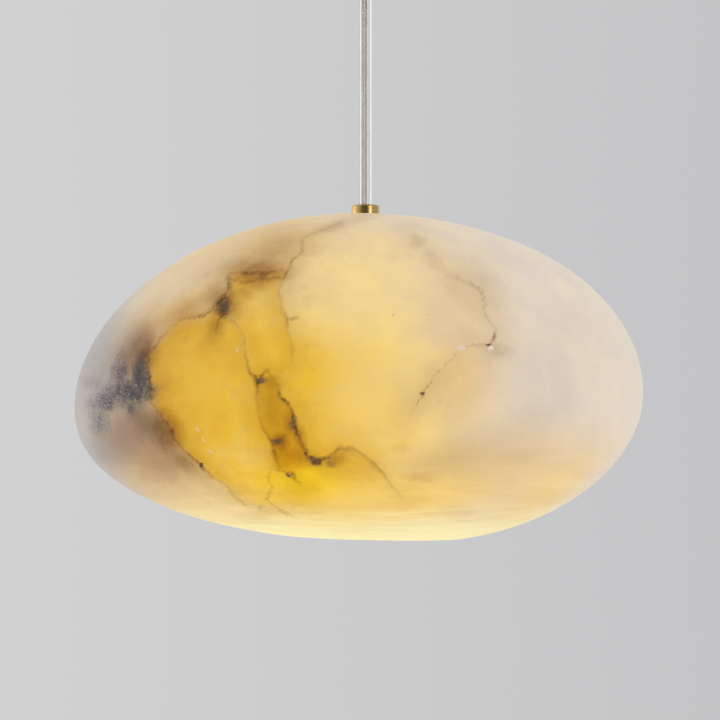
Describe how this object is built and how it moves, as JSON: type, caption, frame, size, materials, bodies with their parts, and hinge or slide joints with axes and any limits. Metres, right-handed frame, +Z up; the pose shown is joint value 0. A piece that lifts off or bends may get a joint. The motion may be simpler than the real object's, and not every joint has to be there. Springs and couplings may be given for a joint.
{
  "type": "pendant light",
  "caption": "Pebble-shaped hollow alabaster pendant light with a brass cap, hung by a clear cord from a round brass ceiling canopy, lit from inside.",
  "frame": {"origin": "centre of the bracket's ceiling slots, on the ceiling plane and on the cord's axis", "axes": "+Z up, -Y to the viewer, +X to the viewer's right, towards the blunt end of the stone"},
  "size_m": [0.2999, 0.2516, 0.3326],
  "materials": {
    "brass": "brushed and lacquered",
    "steel": "zinc plated",
    "white_nylon": "moulded",
    "wire_insulation": "smooth",
    "clear_jacket": "clear and smooth",
    "tinned_copper": "stranded, tinned",
    "clear_silicone": "translucent",
    "black_rubber": "matte",
    "alabaster": "polished, translucent, lit from inside",
    "white_ceramic": "unglazed",
    "frosted_glass": "frosted",
    "light_stick": "coated"
  },
  "bodies": {
    "ceiling_mount": {"ceiling_bracket": "steel", "canopy": "brass", "canopy_screws": "brass", "terminal_block": "white_nylon", "terminal_barrels": "brass", "terminal_screws": "steel", "terminal_fixing_screw": "steel", "earth_washer": "steel", "earth_screw": "steel", "gland_body": "brass", "gland_washer": "steel", "gland_nut": "brass", "cord_tails": "wire_insulation"},
    "bush": {"gland_bush": "white_nylon"},
    "cord": {"cord_stop": "brass", "cord_jacket": "clear_jacket", "live_core": "tinned_copper", "neutral_core": "tinned_copper", "cord_end_ferrule": "brass"},
    "pendant": {"cap": "brass", "cap_screw": "steel", "cap_gasket": "clear_silicone", "nipple": "steel", "shade": "alabaster", "inner_gasket": "black_rubber", "spreader_washer": "steel", "shade_nut": "steel", "lamp_carrier": "steel", "carrier_nut": "steel", "holder_contacts": "steel", "holder_screws": "steel", "junction_puck": "white_nylon", "lamp_leads": "wire_insulation", "lamp_holder_1": "white_ceramic", "lamp_holder_2": "white_ceramic", "lamp_holder_3": "white_ceramic"},
    "lamp_1": {"lamp_1_base": "white_ceramic", "lamp_1_pins": "steel", "lamp_1_envelope": "frosted_glass", "lamp_1_stick": "light_stick"},
    "lamp_2": {"lamp_2_base": "white_ceramic", "lamp_2_pins": "steel", "lamp_2_envelope": "frosted_glass", "lamp_2_stick": "light_stick"},
    "lamp_3": {"lamp_3_base": "white_ceramic", "lamp_3_pins": "steel", "lamp_3_envelope": "frosted_glass", "lamp_3_stick": "light_stick"}
  },
  "joints": [
    {"name": "swing_front", "type": "hinge", "parent": "ceiling_mount", "child": "bush", "pos_m": [0, 0, -0.031], "axis": [1, 0, 0], "range_deg": [-15, 15]},
    {"name": "swing_side", "type": "hinge", "parent": "bush", "child": "cord", "pos_m": [0, 0, -0.031], "axis": [0, 1, 0], "range_deg": [-15, 15]},
    {"name": "pendant_turn", "type": "hinge", "parent": "cord", "child": "pendant", "pos_m": [0, 0, -0.157], "axis": [0, 0, 1], "range_deg": [-180, 180]},
    {"name": "lamp_1_pull", "type": "slide", "parent": "pendant", "child": "lamp_1", "axis": [0, 0, -1], "range_m": [0, 0.146]},
    {"name": "lamp_2_pull", "type": "slide", "parent": "pendant", "child": "lamp_2", "axis": [0, 0, -1], "range_m": [0, 0.146]},
    {"name": "lamp_3_pull", "type": "slide", "parent": "pendant", "child": "lamp_3", "axis": [0, 0, -1], "range_m": [0, 0.146]}
  ]
}
